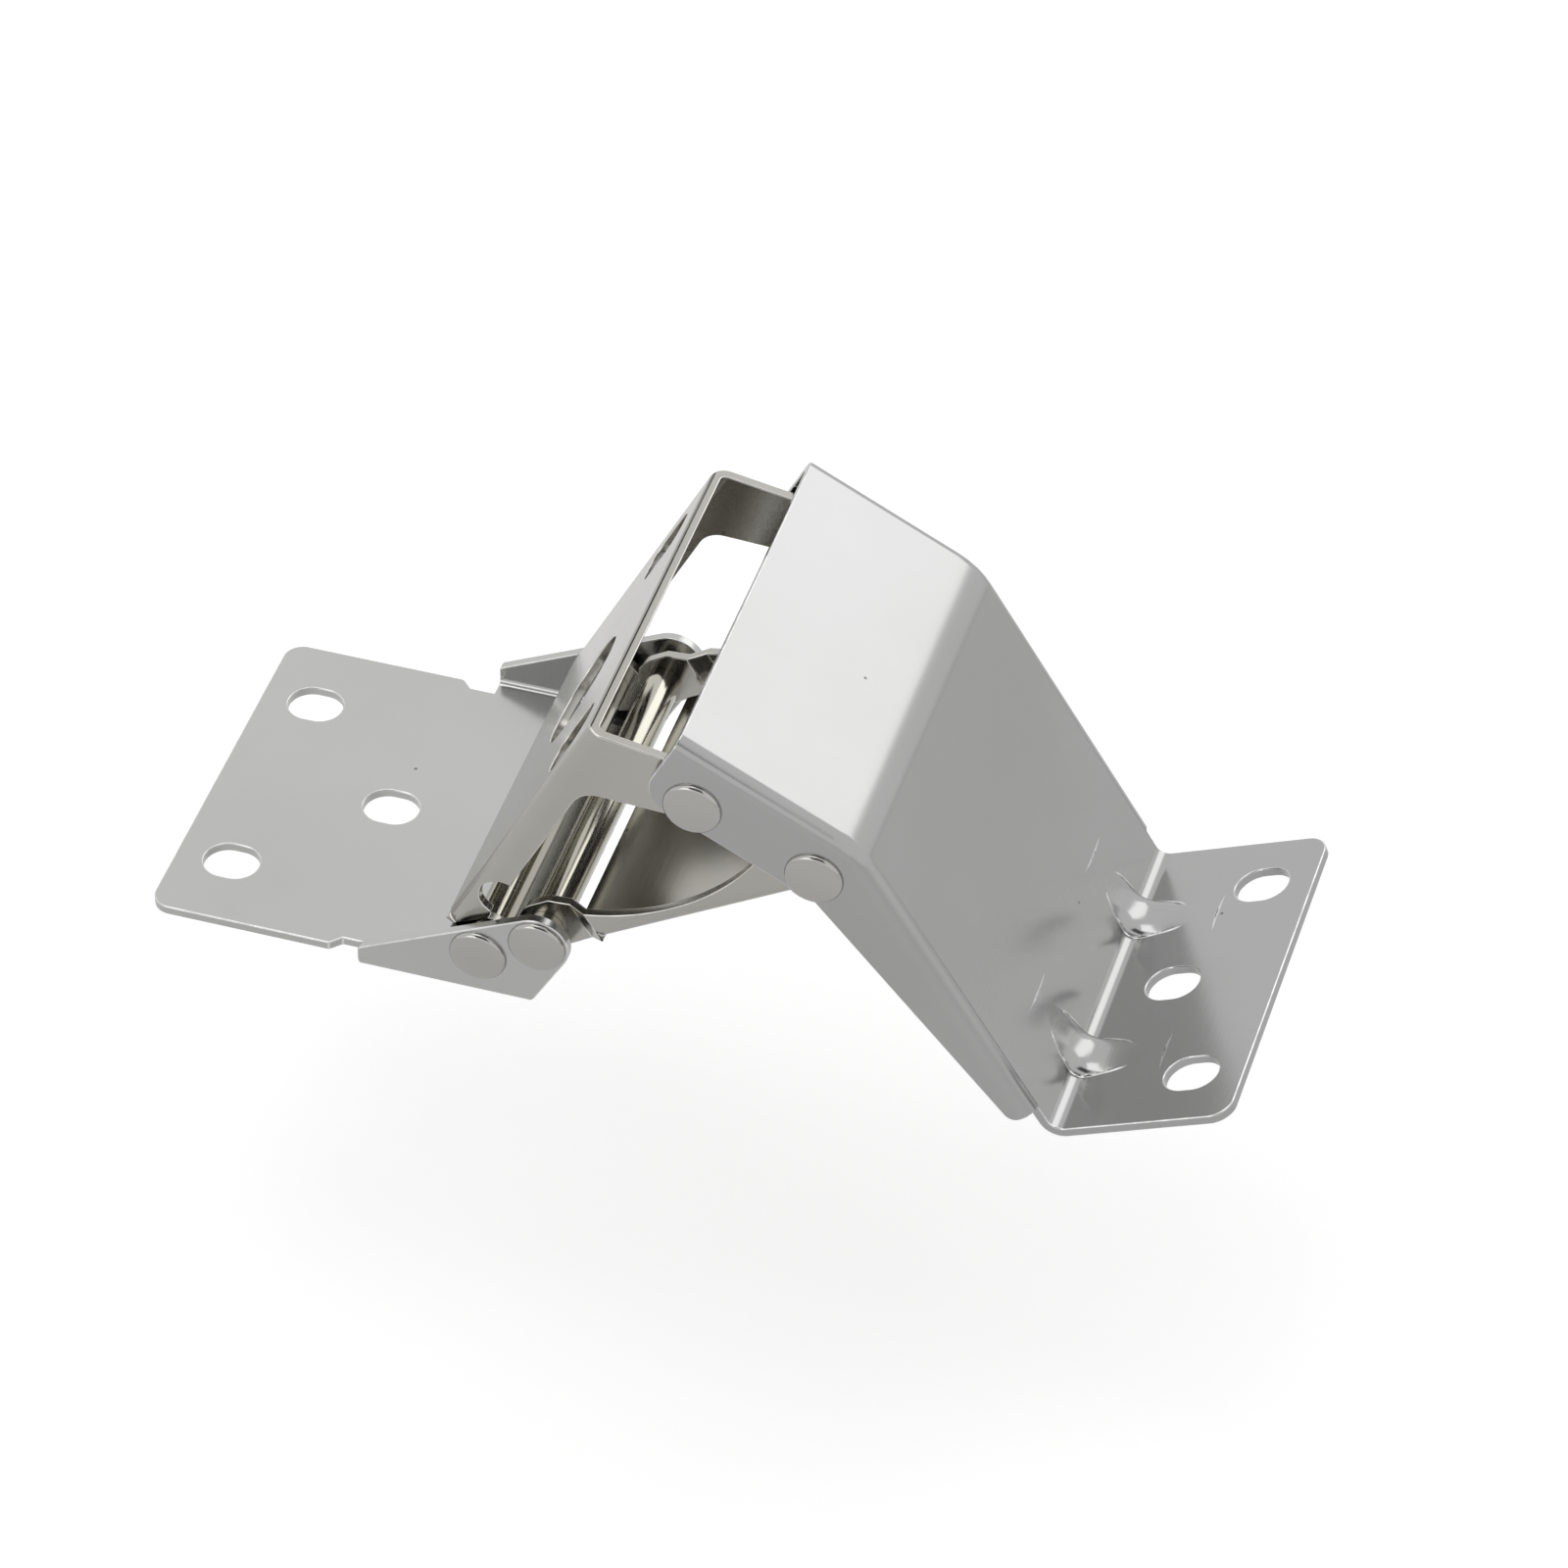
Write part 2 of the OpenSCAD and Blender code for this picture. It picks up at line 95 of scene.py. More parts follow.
class Effect(Enum):
    """The shader groups that the finishes share."""

    GRAIN = "Rolled grain"
    HAIR = "Hair scratches"
    PITS = "Pits"
    # The rim mask carries edge wear and a painted highlight along the cut edges.
    WEAR_AND_PAINTED_HIGHLIGHT = "Rim wear and painted highlight"


Tree = bpy.types.NodeTree
Socket = bpy.types.NodeSocket
Colour = tuple[float, float, float]
Outline = list[tuple[float, float]]
Groups = dict[Effect, Tree]
Finishes = dict[Slot, bpy.types.Material]


# Nodes


def fill(tree: Tree, socket: Socket, value: Socket | object) -> None:
    """Links an input to another socket, or gives it a plain value.

    Args:
        tree: The node tree.
        socket: The input.
        value: The other socket or the value.
    """
    if isinstance(value, Socket):
        tree.links.new(value, socket)
    else:
        socket.default_value = value


def add_node(tree: Tree, kind: str, inputs: dict[str | int, Socket | object],
             **options: object) -> bpy.types.Node:
    """Adds a node, sets its options and fills its inputs.

    Args:
        tree: The node tree.
        kind: The node's type.
        inputs: A socket or a value for each input, by its name or number.
        options: The node's own options.

    Returns:
        The node.
    """
    node = tree.nodes.new(kind)
    for key, option in options.items():
        setattr(node, key, option)
    for key, value in inputs.items():
        fill(tree, node.inputs[key], value)
    return node


def math_value(tree: Tree, operation: str, *values: Socket | float) -> Socket:
    """Adds a math node.

    Args:
        tree: The node tree.
        operation: The math operation.
        values: Its inputs in order, as sockets or numbers.

    Returns:
        The socket with the result.
    """
    return add_node(tree, "ShaderNodeMath", dict(enumerate(values)), operation=operation).outputs[0]


def noise(tree: Tree, place: Socket, scale: Socket | float, detail: float,
          roughness: float) -> Socket:
    """Adds a noise texture.

    Args:
        tree: The node tree.
        place: The socket with the coordinates.
        scale: The scale, as a socket or a number.
        detail: Octaves of the noise.
        roughness: How strong the fine octaves are.

    Returns:
        The socket with the noise.
    """
    inputs = {"Vector": place, "Scale": scale, "Detail": detail, "Roughness": roughness}
    return add_node(tree, "ShaderNodeTexNoise", inputs).outputs["Fac"]


def ramp(tree: Tree, value: Socket, stops: tuple[tuple[float, float], ...]) -> Socket:
    """Adds a ramp of grey values.

    Args:
        tree: The node tree.
        value: The socket that drives the ramp.
        stops: Pairs of position and grey value.

    Returns:
        The socket with the grey value.
    """
    node = add_node(tree, "ShaderNodeValToRGB", {"Fac": value})
    elements = node.color_ramp.elements
    while len(elements) < len(stops):
        elements.new(0.5)
    for element, (position, grey) in zip(elements, stops):
        element.position = position
        element.color = (grey, grey, grey, 1.0)
    return node.outputs[0]


def mix_colour(tree: Tree, share: Socket, first: Socket | Colour,
               second: Socket | Colour) -> Socket:
    """Mixes two colours.

    Args:
        tree: The node tree.
        share: How much of the second colour shows.
        first: The first colour, as a socket or three numbers.
        second: The second colour, as a socket or three numbers.

    Returns:
        The socket with the mixed colour.
    """
    node = add_node(tree, "ShaderNodeMix", {"Factor": share}, data_type="RGBA")
    sockets = [socket for socket in node.inputs if socket.type == "RGBA"]
    for socket, colour in zip(sockets, (first, second)):
        fill(tree, socket, (*colour, 1.0) if isinstance(colour, tuple) else colour)
    return next(socket for socket in node.outputs if socket.type == "RGBA")


def seen_rays(tree: Tree, in_metal: float = 1.0) -> Socket:
    """Makes a value of 1 for camera rays.

    Args:
        tree: The node tree.
        in_metal: The value for glossy and transmission rays.

    Returns:
        The socket with the value.
    """
    path = tree.nodes.new("ShaderNodeLightPath")
    seen = path.outputs["Is Camera Ray"]
    for name in ("Is Glossy Ray", "Is Transmission Ray"):
        seen = math_value(tree, "MAXIMUM", seen, math_value(tree, "MULTIPLY", path.outputs[name], in_metal))
    return seen


# Finishes


@dataclass
class GroupMaker:
    """Builds the shader groups that more than one finish uses.

    Args:
        groups: The groups made so far.
    """

    groups: Groups = field(default_factory=dict)

    def start(self, effect: Effect, inputs: dict[str, float], outputs: tuple[str, ...]) -> tuple:
        """Opens a new group whose inputs are floats, with a vector for the place.

        Args:
            effect: The group's effect.
            inputs: The float inputs and their values.
            outputs: The float outputs.

        Returns:
            The tree, its inputs and its output node.
        """
        tree = bpy.data.node_groups.new(effect.value, "ShaderNodeTree")
        tree.interface.new_socket("Place", in_out="INPUT", socket_type="NodeSocketVector")
        for key, value in inputs.items():
            socket = tree.interface.new_socket(key, in_out="INPUT", socket_type="NodeSocketFloat")
            socket.default_value = value
        for key in outputs:
            tree.interface.new_socket(key, in_out="OUTPUT", socket_type="NodeSocketFloat")
        self.groups[effect] = tree
        return tree, tree.nodes.new("NodeGroupInput").outputs, tree.nodes.new("NodeGroupOutput")

    def rolled_grain(self) -> None:
        """Makes fine lines across the sheet, as rolling and polishing leave them, and soft clouds."""
        sizes, along = {"Lines": 2600.0, "Cloud": 16.0}, (1.0, 0.022, 1.0)
        tree, source, out = self.start(Effect.GRAIN, sizes, ("Line", "Cloudiness"))
        drawn = add_node(tree, "ShaderNodeVectorMath", {0: source["Place"], 1: along}, operation="MULTIPLY")
        lines = noise(tree, drawn.outputs[0], source["Lines"], detail=3.0, roughness=0.6)
        clouds = noise(tree, source["Place"], source["Cloud"], detail=4.0, roughness=0.55)
        fill(tree, out.inputs["Line"], lines)
        fill(tree, out.inputs["Cloudiness"], clouds)

    def scratches(self) -> None:
        """Makes hair scratches from handling, in two directions, broken up in patches."""
        tree, source, out = self.start(Effect.HAIR, {"Amount": 0.5, "Scale": 1500.0}, ("Scratch",))
        hairline, patchy = ((0.60, 0.0), (0.63, 1.0), (0.66, 0.0)), ((0.42, 0.0), (0.62, 1.0))
        hairs = []
        for angle, drawn in ((0.6, (1.0, 0.03, 0.4)), (-0.9, (0.05, 1.0, 0.5))):
            turn = add_node(tree, "ShaderNodeMapping", {
                "Vector": source["Place"], "Rotation": (angle * 0.5, 0.3, angle), "Scale": drawn})
            hair = noise(tree, turn.outputs[0], source["Scale"], detail=2.0, roughness=0.5)
            hairs.append(ramp(tree, hair, hairline))
        patch = noise(tree, source["Place"], scale=70.0, detail=1.0, roughness=0.5)
        both = math_value(tree, "MAXIMUM", *hairs)
        seen = math_value(tree, "MULTIPLY", both, ramp(tree, patch, patchy))
        fill(tree, out.inputs["Scratch"], math_value(tree, "MULTIPLY", seen, source["Amount"]))

    def pits(self) -> None:
        """Makes small round pits, a few to a palm's width."""
        tree, source, out = self.start(Effect.PITS, {"Scale": 260.0, "Share": 0.08}, ("Pit",))
        cells = add_node(tree, "ShaderNodeTexVoronoi", {
            "Vector": source["Place"], "Scale": source["Scale"], "Randomness": 1.0})
        bowl = ramp(tree, cells.outputs["Distance"], ((0.03, 1.0), (0.09, 0.0)))
        pick = add_node(tree, "ShaderNodeSeparateColor", {0: cells.outputs["Color"]})
        chosen = math_value(tree, "LESS_THAN", pick.outputs[0], source["Share"])
        fill(tree, out.inputs["Pit"], math_value(tree, "MULTIPLY", bowl, chosen))

    def rim_wear_and_painted_highlight(self) -> None:
        """Marks the cut edges from the mesh's own rim attribute, broken up in worn patches: the edges are
        rubbed bright, and their lighter colour is also a painted highlight.
        """
        tree, source, out = self.start(Effect.WEAR_AND_PAINTED_HIGHLIGHT, {"Amount": 1.0}, ("Rim",))
        rim = add_node(tree, "ShaderNodeAttribute", {}, attribute_name="rim")
        wear = noise(tree, source["Place"], scale=420.0, detail=3.0, roughness=0.6)
        share = ramp(tree, wear, ((0.3, 0.35), (0.6, 1.0)))
        worn = math_value(tree, "MULTIPLY", rim.outputs["Fac"], share)
        fill(tree, out.inputs["Rim"], math_value(tree, "MULTIPLY", worn, source["Amount"]))

    def make_all(self) -> Groups:
        """Builds every group once.

        Returns:
            The groups.
        """
        for build in (self.rolled_grain, self.scratches, self.pits, self.rim_wear_and_painted_highlight):
            build()
        return self.groups


@dataclass(frozen=True)
class SteelFinish:
    """A finish of polished or plated steel.

    Args:
        slot: The record's material slot.
        colour: The metal's reflected colour.
        shade: The colour of its duller clouds.
        rim: The colour of the rubbed edges: worn bright, and painted lighter as an edge highlight.
        roughness: Mean roughness.
        spread: How far the roughness changes over the surface.
        grain: Height of the rolled lines.
        pit_share: Share of cells that hold a pit.
        scratch: How strong the hair scratches are.
        pit: The colour in a pit.
        line_share: Share of the spread that the rolled lines add.
        scratch_dull: Roughness that a scratch adds.
        rim_shine: Roughness that a rubbed edge loses.
        least: Least roughness.
        scratch_depth: Depth of a scratch, where a pit has 1.
        relief: Strength of the relief.
        relief_depth: Depth of the relief.
    """

    slot: Slot
    colour: Colour
    shade: Colour
    rim: Colour
    roughness: float
    spread: float
    grain: float
    pit_share: float
    scratch: float
    pit: Colour = (0.12, 0.11, 0.10)
    line_share: float = 0.6
    scratch_dull: float = 0.05
    rim_shine: float = 0.08
    least: float = 0.05
    scratch_depth: float = 0.12
    relief: float = 0.3
    relief_depth: float = 0.03 * MM

    def material(self, groups: Groups) -> bpy.types.Material:
        """Builds the material.

        Args:
            groups: The shared shader groups.

        Returns:
            The new material.
        """
        made = bpy.data.materials.new("finish_" + self.slot.value)
        made.use_nodes = True
        tree = made.node_tree
        tree.nodes.clear()
        place = tree.nodes.new("ShaderNodeTexCoord").outputs["Object"]
        grain, hair, pits, wear_and_painted_highlight = (
            add_node(tree, "ShaderNodeGroup", {"Place": place, **own}, node_tree=groups[effect]).outputs
            for effect, own in ((Effect.GRAIN, {}), (Effect.HAIR, {"Amount": self.scratch}),
                                (Effect.PITS, {"Share": self.pit_share}), (Effect.WEAR_AND_PAINTED_HIGHLIGHT, {})))
        clouds = ramp(tree, grain["Cloudiness"], ((0.30, 0.0), (0.70, 1.0)))
        shader = add_node(tree, "ShaderNodeBsdfPrincipled", {
            "Metallic": 1.0,
            "Base Color": self.surface_colour(tree, clouds, pits["Pit"], wear_and_painted_highlight["Rim"]),
            "Roughness": self.surface_roughness(tree, clouds, grain["Line"], hair["Scratch"], wear_and_painted_highlight["Rim"]),
            "Normal": self.surface_relief(tree, grain["Line"], hair["Scratch"], pits["Pit"])})
        add_node(tree, "ShaderNodeOutputMaterial", {0: shader.outputs[0]})
        return made

    def surface_colour(self, tree: Tree, clouds: Socket, pit: Socket, rim: Socket) -> Socket:
        """Mixes the metal's colour with its clouds, pits and rubbed edges; the edges are worn bright and
        also painted lighter as an edge highlight.

        Args:
            tree: The material's tree.
            clouds: The mask of the clouds.
            pit: The mask of the pits.
            rim: The mask of the rubbed edges, which also places the painted edge highlight.

        Returns:
            The socket with the colour.
        """
        base = mix_colour(tree, clouds, self.colour, self.shade)
        # The rim colour is edge wear, and also a painted highlight along the cut edges.
        return mix_colour(tree, rim, mix_colour(tree, pit, base, self.pit), self.rim)

    def surface_roughness(self, tree: Tree, clouds: Socket, line: Socket, scratch: Socket,
                          rim: Socket) -> Socket:
        """Adds up the roughness of the clouds, lines, scratches and rubbed edges.

        Args:
            tree: The material's tree.
            clouds: The mask of the clouds.
            line: The rolled lines.
            scratch: The mask of the scratches.
            rim: The mask of the rubbed edges.

        Returns:
            The socket with the roughness.
        """
        rough: Socket | float = self.roughness - self.spread / 2
        for mask, amount in ((clouds, self.spread), (line, self.spread * self.line_share),
                             (scratch, self.scratch_dull), (rim, -self.rim_shine)):
            rough = math_value(tree, "MULTIPLY_ADD", mask, amount, rough)
        return math_value(tree, "MAXIMUM", rough, self.least)

    def surface_relief(self, tree: Tree, line: Socket, scratch: Socket, pit: Socket) -> Socket:
        """Makes the fine relief of lines, scratches and pits.

        Args:
            tree: The material's tree.
            line: The rolled lines.
            scratch: The mask of the scratches.
            pit: The mask of the pits.

        Returns:
            The socket with the normal.
        """
        cuts = math_value(tree, "MULTIPLY", scratch, -self.scratch_depth)
        dips = math_value(tree, "MULTIPLY_ADD", pit, -1.0, cuts)
        height = math_value(tree, "MULTIPLY_ADD", line, self.grain, dips)
        return add_node(tree, "ShaderNodeBump", {
            "Strength": self.relief, "Distance": self.relief_depth, "Height": height}).outputs[0]


# Each rim colour is lighter than its metal: worn edges, and a painted highlight along the cut edges.
FINISHES = (
    SteelFinish(Slot.PLATE, colour=(0.51, 0.512, 0.505), shade=(0.465, 0.467, 0.455), rim=(0.70, 0.70, 0.69),
                roughness=0.22, spread=0.04, grain=0.5, pit_share=0.05, scratch=0.6),
    SteelFinish(Slot.BRIGHT, colour=(0.41, 0.41, 0.41), shade=(0.38, 0.38, 0.375), rim=(0.70, 0.70, 0.70),
                roughness=0.17, spread=0.03, grain=0.4, pit_share=0.05, scratch=0.5),
    SteelFinish(Slot.LINK, colour=(0.47, 0.46, 0.43), shade=(0.41, 0.40, 0.365), rim=(0.66, 0.65, 0.62),
                roughness=0.17, spread=0.04, grain=0.5, pit_share=0.05, scratch=0.6),
    SteelFinish(Slot.RIVET, colour=(0.46, 0.455, 0.44), shade=(0.41, 0.405, 0.385), rim=(0.68, 0.67, 0.65),
                roughness=0.12, spread=0.03, grain=0.2, pit_share=0.03, scratch=0.6),
    SteelFinish(Slot.SLEEVE, colour=(0.52, 0.505, 0.45), shade=(0.45, 0.435, 0.37), rim=(0.68, 0.67, 0.62),
                roughness=0.12, spread=0.04, grain=0.5, pit_share=0.03, scratch=0.6),
    SteelFinish(Slot.WASHER, colour=(0.36, 0.355, 0.33), shade=(0.31, 0.305, 0.275), rim=(0.56, 0.55, 0.52),
                roughness=0.20, spread=0.05, grain=0.5, pit_share=0.05, scratch=0.5),
)


# Objects


def add_object(name: str, data: bpy.types.ID) -> bpy.types.Object:
    """Links a new object to the scene.

    Args:
        name: Its name.
        data: Its mesh, lamp or camera.

    Returns:
        The object.
    """
    made = bpy.data.objects.new(name, data)
    bpy.context.scene.collection.objects.link(made)
    return made


def baked(piece: bpy.types.Object) -> bpy.types.Object:
    """Turns the piece with its modifiers into a plain mesh.

    Args:
        piece: The piece.

    Returns:
        The same piece, without modifiers.
    """
    graph = bpy.context.evaluated_depsgraph_get()
    graph.update()
    mesh = bpy.data.meshes.new_from_object(piece.evaluated_get(graph), preserve_all_data_layers=True,
                                           depsgraph=graph)
    mesh.name = piece.name
    piece.modifiers.clear()
    piece.data = mesh
    return piece


def with_weighted_normals(piece: bpy.types.Object) -> bpy.types.Object:
    """Sets normals that keep the large faces flat, and applies them.

    Args:
        piece: The piece, with smooth faces.

    Returns:
        The same piece with a plain mesh.
    """
    weight = piece.modifiers.new("normals", "WEIGHTED_NORMAL")
    weight.mode = "FACE_AREA_WITH_ANGLE"
    weight.weight = 100
    weight.keep_sharp = True
    return baked(piece)


def centre(node: str) -> Vector:
    """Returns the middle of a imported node's box."""
    return sum(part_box(node), Vector()) / 2


# Folded sheets


@dataclass
class FoldedSheet:
    """One folded sheet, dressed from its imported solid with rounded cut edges.

    Args:
        node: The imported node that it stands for.
        body: The body that it rides on.
        slot: Its material slot.
        edge: Width of the rounding on its cut edges.
        steps: Faces across that rounding.
        sharp: Edges that turn more than this, in degrees, are cut edges.
        flat: Faces that turn less than this, in degrees, are one.
        join: Points closer than this are one.
        speck: Faces smaller than a square of this size have no cut edges.
    """

    node: str
    body: Body
    slot: Slot
    edge: float = 0.2 * MM
    steps: int = 3
    sharp: float = 32.0
    flat: float = 0.4
    join: float = 0.05 * MM
    speck: float = 0.05 * MM

    def reshape(self, shell: bmesh.types.BMesh) -> None:
        """Leaves the shape as the solid has it."""

    def shape(self) -> bmesh.types.BMesh:
        """Copies the solid, joins its loose triangles and rounds its cut edges.

        Returns:
            The new mesh, whose layer rim marks the rounded edges.
        """
        shell = bmesh.new()
        shell.from_mesh(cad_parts[self.node].data)
        bmesh.ops.remove_doubles(shell, verts=shell.verts, dist=self.join)
        bmesh.ops.dissolve_degenerate(shell, dist=self.join / 2, edges=shell.edges)
        bmesh.ops.dissolve_limit(shell, angle_limit=math.radians(self.flat), verts=shell.verts,
                                 edges=shell.edges)
        self.reshape(shell)
        solid = BVHTree.FromBMesh(shell)
        rim = shell.faces.layers.float.new("rim")
        limit = math.radians(self.sharp)
        real = {face for face in shell.faces if face.calc_area() > self.speck ** 2}
        cut = [edge for edge in shell.edges if len(edge.link_faces) == 2 and real.issuperset(edge.link_faces)
               and edge.calc_face_angle(0.0) > limit]
        made = bmesh.ops.bevel(shell, geom=cut, offset=self.edge, offset_type="OFFSET", segments=self.steps,
                               profile=0.5, affect="EDGES", clamp_overlap=False)
        for face in made["faces"]:
            face[rim] = 1.0
        for vert in made["verts"]:
            nearest, _, _, gap = solid.find_nearest(vert.co)
            if gap > self.edge / 2:
                vert.co = nearest
        return shell

    def build(self, materials: Finishes) -> bpy.types.Object:
        """Makes the piece, dresses it and lets it ride on its body.

        Args:
            materials: The finish of each slot.

        Returns:
            The finished piece.
        """
        mesh = bpy.data.meshes.new(self.node + "_sheet")
        shell = self.shape()
        shell.to_mesh(mesh)
        shell.free()
        mesh.shade_smooth()
        piece = with_weighted_normals(add_object(self.node + "_sheet", mesh))
        piece.data.materials.clear()
        piece.data.materials.append(materials[self.slot])
        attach(piece, self.body.value)
        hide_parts(self.node)
        return piece


@dataclass
class CurvedSheet(FoldedSheet):
    """The curved link, whose web runs on between the stepped arms towards the front pin.

    Args:
        web_start: Start of the web in the solid, measured from the front pivot.
        tongue_start: Start of the tongue that carries the web on.
        tongue_half: Half width of the tongue.
        slack: How far a point may lie from the end of the web to belong to it.
    """

    web_start: float = 8.5 * MM
    tongue_start: float = 3.6 * MM
    tongue_half: float = 24.5 * MM
    slack: float = 0.02 * MM

    def reshape(self, shell: bmesh.types.BMesh) -> None:
        """Draws the middle of the web's end out to the tongue.

        Args:
            shell: The mesh of the link.
        """
        front, lower = centre("front_pin"), centre("lower_rivet_left")
        along = Vector((lower.x - front.x, 0.0, lower.z - front.z)).normalized()

        def at_end(face: bmesh.types.BMFace) -> bool:
            """Tells whether a face lies in the end plane of the web."""
            return all(abs((v.co - front).dot(along) - self.web_start) < self.slack for v in face.verts)

        for side in (-1, 1):
            ends = [face for face in shell.faces if at_end(face)]
            edges = {edge for face in ends for edge in face.edges}
            bmesh.ops.bisect_plane(shell, geom=[*ends, *edges], dist=1e-7,
                                   plane_co=(0.0, side * self.tongue_half, 0.0), plane_no=(0.0, 1.0, 0.0))
        middle = [face for face in shell.faces
                  if at_end(face) and abs(face.calc_center_median().y) < self.tongue_half]
        grown = bmesh.ops.extrude_face_region(shell, geom=middle)
        verts = [item for item in grown["geom"] if isinstance(item, bmesh.types.BMVert)]
        bmesh.ops.delete(shell, geom=middle, context="FACES_ONLY")
        bmesh.ops.translate(shell, verts=verts, vec=along * (self.tongue_start - self.web_start))


@dataclass
class CrankedSheet(FoldedSheet):
    """The cranked leaf, whose bend is eased and whose two ribs are pressed like a saddle.

    Args:
        depth: Distance from the upper pivot's axis to the outer face.
        bend_at: Distance from the upper pivot to the bend, along the face.
        turn: Angle of the bend, in degrees.
        tight: Outside radius of the bend in the solid.
        wide: Outside radius of the eased bend, as a press brake leaves it.
        span: Distance between its two pivots.
        rise: Rise of the lower pivot towards the face.
        slope: Length of the slope from the bend to the fold.
        fold: Angle of the fold between the slope and the toe, in degrees.
        reach: Reach of a rib up the slope and along the toe.
        rib_pitch: Distance between the two ribs.
        ribs: Half widths of a rib and of the hollow under it.
        crown: Power of the rib's section, 2 for a round one and more for a flatter crown.
        saddle: Height of the rib's crown over the point of the fold.
        rib_end: Share of the reach past which the crown lies on the sheet.
        least: Ribs lower than this are left alone.
        fade: Height over which the hollow under a rib takes on the saddle.
        inside: Inside radius of the fold.
        sheet: Thickness of the sheet.
        slack: How far a point may lie from a rib's surface to belong to it.
    """

    depth: float = 9.45 * MM
    bend_at: float = 21.9 * MM
    turn: float = 31.5
    tight: float = 4.5 * MM
    wide: float = 13.0 * MM
    span: float = 19.64 * MM
    rise: float = 0.75 * MM
    slope: float = 56.7 * MM
    fold: float = 82.2
    reach: float = 11.5 * MM
    rib_pitch: float = 30.0 * MM
    ribs: tuple[float, float] = (4.0 * MM, 2.5 * MM)
    crown: float = 2.6
    saddle: float = 2.4 * MM
    rib_end: float = 0.93
    least: float = 0.05 * MM
    fade: float = 0.5 * MM
    inside: float = 2.0 * MM
    sheet: float = 1.5 * MM
    slack: float = 0.03 * MM

    @property
    def half_angle(self) -> float:
        """Half the angle between the slope and the toe, in radians."""
        return math.radians(90.0 - self.fold / 2)

    @property
    def rib_centre(self) -> float:
        """Distance from the point of the fold to the centre of the ribs' arc."""
        return self.reach / math.cos(self.half_angle)

    @property
    def rib_path(self) -> float:
        """Radius of the arc that the middle of a rib's section follows."""
        return self.reach * math.tan(self.half_angle) + self.ribs[0]

    def leaf_frame(self) -> Matrix:
        """Finds the leaf's own frame: X along its top face, Z towards that face.

        Returns:
            The matrix from the leaf's frame to the model's.
        """
        upper, lower = centre("upper_rivet_left"), centre("lower_rivet_left")
        lean = math.atan2(lower.z - upper.z, lower.x - upper.x) - math.asin(self.rise / self.span)
        return Matrix.Translation((upper.x, 0.0, upper.z)) @ Matrix.Rotation(-lean, 4, "Y")

    def reshape(self, shell: bmesh.types.BMesh) -> None:
        """Presses the ribs and eases the bend.

        Args:
            shell: The mesh of the leaf.
        """
        to_model = self.leaf_frame()
        self.press_ribs(shell, to_model)
        self.ease_bend(shell, to_model)

    def press_ribs(self, shell: bmesh.types.BMesh, to_model: Matrix) -> None:
        """Gives the two ribs steep sides and a flat crown that dips to the fold like a saddle.

        Args:
            shell: The mesh of the leaf.
            to_model: The matrix from the leaf's frame to the model's.
        """
        to_leaf = to_model.inverted()
        turn, line = math.radians(self.turn), math.radians(90.0 + self.fold / 2 - self.turn)
        out = Vector((math.cos(line), math.sin(line)))
        along, down = self.slope * math.cos(turn), self.slope * math.sin(turn)
        point = Vector((self.bend_at + along, self.depth - down))
        middle = point + self.rib_centre * out
        for vert in shell.verts:
            spot = to_leaf @ vert.co
            side = math.copysign(self.rib_pitch / 2, spot.y)
            across, up = spot.y - side, self.rib_path - (Vector((spot.x, spot.z)) - middle).length
            for width in self.ribs:
                if abs(math.hypot(across, up) - width) < self.slack:
                    share = 1.0 if up < 0 else max(0.0, 1.0 - (up / width) ** self.crown) ** (1 / self.crown)
                    spot.y = side + math.copysign(width * share, across)
                    rise = (Vector((spot.x, spot.z)) - point).dot(out)
                    off = (spot.z - point.y) * out.x - (spot.x - point.x) * out.y
                    drop = self.saddle_drop(rise, off, width)
                    spot.x -= drop * out.x
                    spot.z -= drop * out.y
                    vert.co = to_model @ spot

    def saddle_drop(self, rise: float, off: float, width: float) -> float:
        """Works out how far a rib's point comes down towards the fold.

        The round crown of the solid gives way to a conic, which leaves both faces at the rib's
        ends without a kink and passes over the point of the fold at the saddle's height.

        Args:
            rise: The point's place along the fold's bisector, from the point of the fold.
            off: Its distance from the bisector.
            width: Half width of the rib or of the hollow, whichever the point lies on.

        Returns:
            The distance, along the bisector.
        """
        half, under = self.half_angle, width < self.ribs[0]
        below = self.sheet if under else 0.0
        bend = self.inside + below
        face = abs(off) / math.tan(half) - below / math.sin(half)
        if abs(off) < bend * math.cos(half):
            face = self.inside / math.sin(half) - math.sqrt(bend ** 2 - off ** 2)
        if not under and abs(off) > self.rib_end * self.reach * math.sin(half):
            return max(0.0, rise - face)
        crown = self.reach * math.tan(half)
        arc, own = (self.rib_centre - math.sqrt(max(0.0, radius ** 2 - off ** 2))
                    for radius in (crown, self.rib_path - width))
        chord = self.reach * math.cos(half)
        bulge = (self.saddle * math.sin(half) / (chord - self.saddle)) ** 2
        lead = math.sin(half) ** 2 - bulge
        inner = bulge * chord ** 2 + (off * math.cos(half)) ** 2
        dipped = (math.sqrt((bulge * chord) ** 2 + lead * inner) - bulge * chord) / lead
        if own - face < self.least or arc < dipped:
            return 0.0
        faded = min(1.0, (own - face) / self.fade) if under else 1.0
        return (arc - dipped) * faded * min(1.0, max(0.0, (rise - face) / (own - face)))

